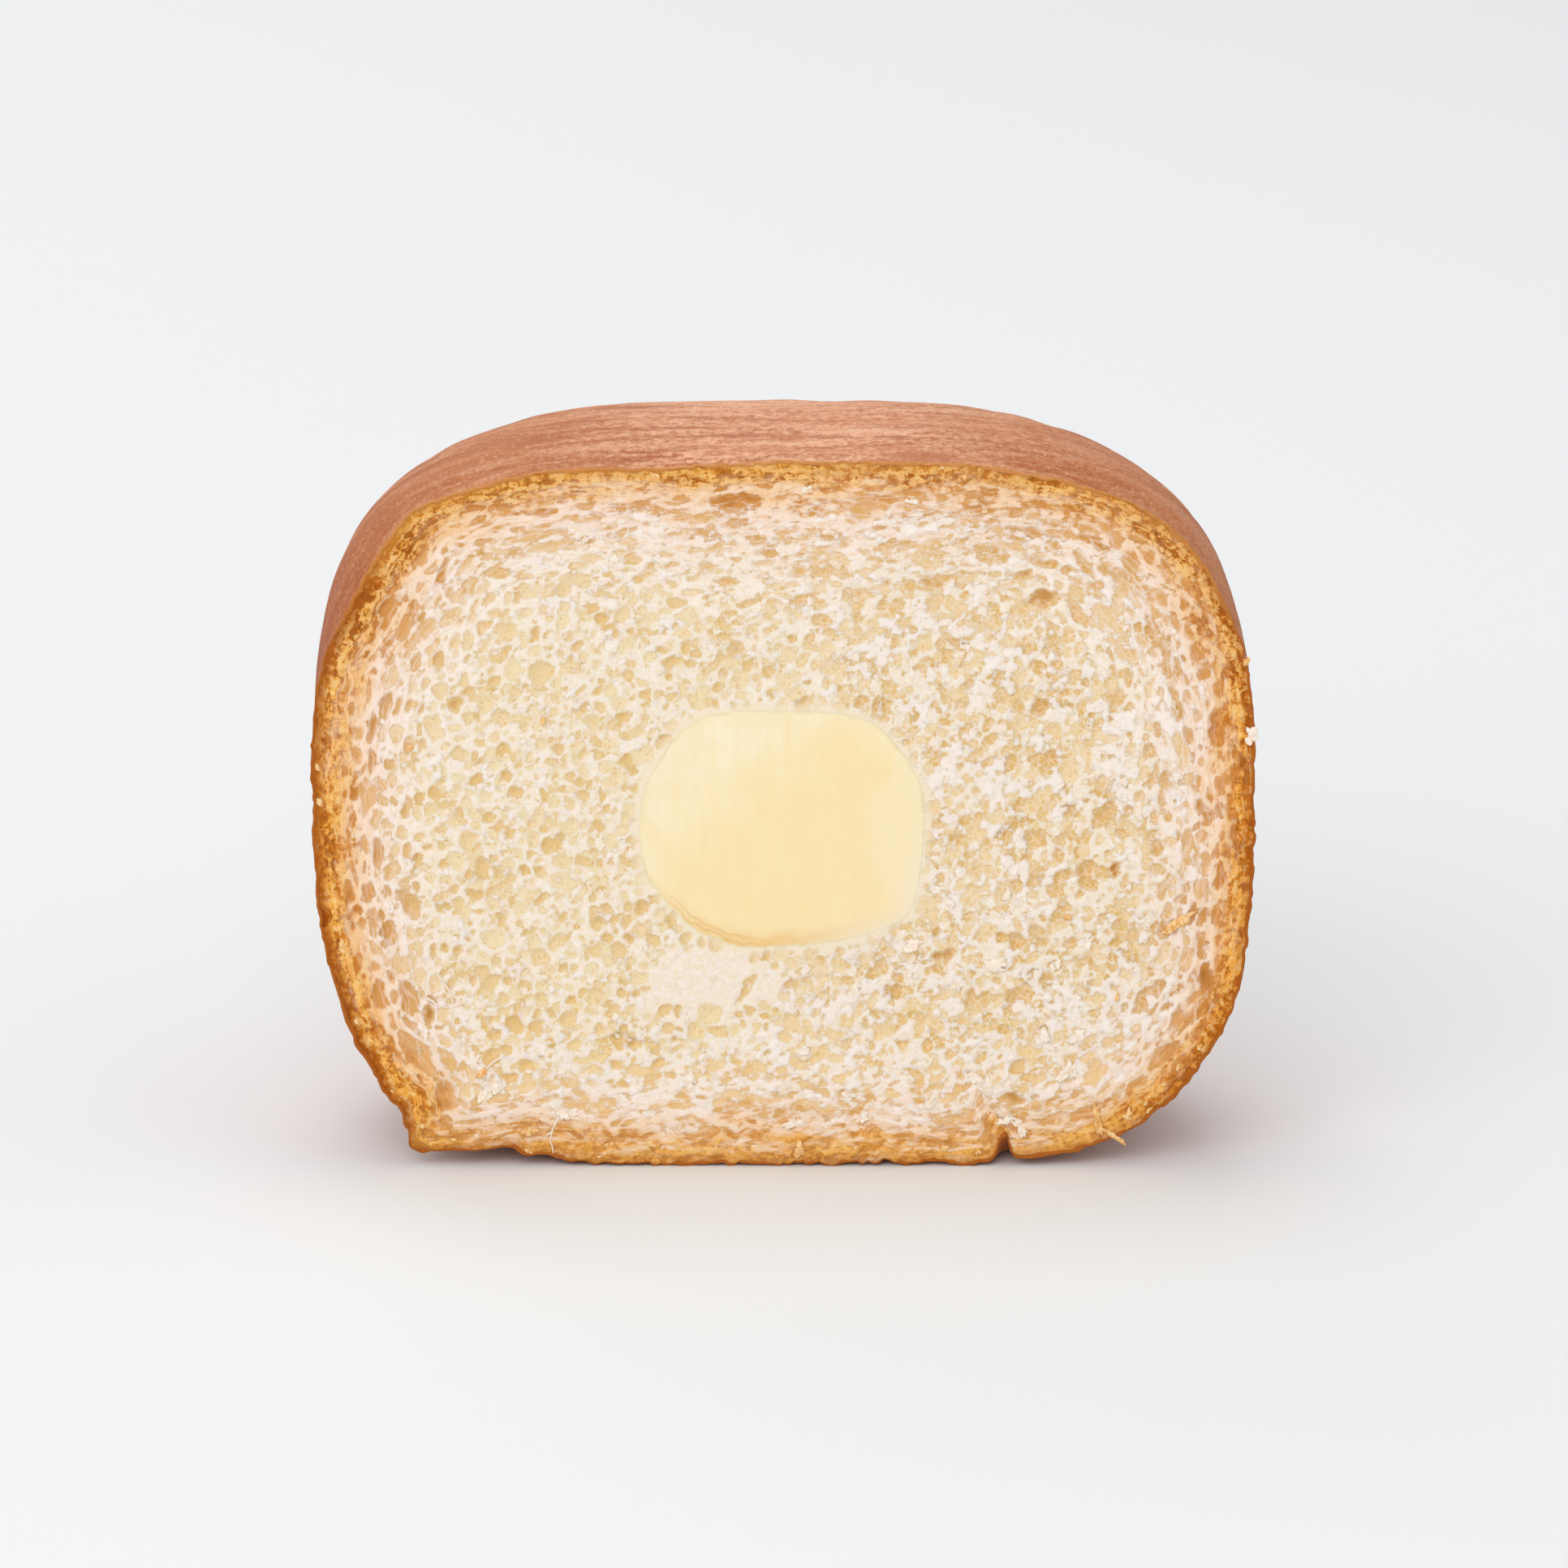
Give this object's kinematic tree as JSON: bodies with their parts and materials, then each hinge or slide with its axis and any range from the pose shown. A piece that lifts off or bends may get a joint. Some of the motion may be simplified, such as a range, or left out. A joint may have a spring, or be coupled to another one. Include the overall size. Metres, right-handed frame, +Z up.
{
  "type": "cut cheese bread bun",
  "caption": "Round baked bun sliced upright near its middle, the cut face showing an open crumb round a lump of pale cheese.",
  "frame": {"origin": "centre of the bun's bounding box, on the surface it stands on", "axes": "+Z up, +X across the cut face, -Y out of the cut face"},
  "size_m": [0.0997, 0.056, 0.0774],
  "materials": {
    "bread": "dry baked crumb and a matt thin crust",
    "cheese": "smooth, slightly waxy cut cheese"
  },
  "bodies": {
    "root": {"bread": "bread", "cheese": "cheese"}
  },
  "joints": []
}
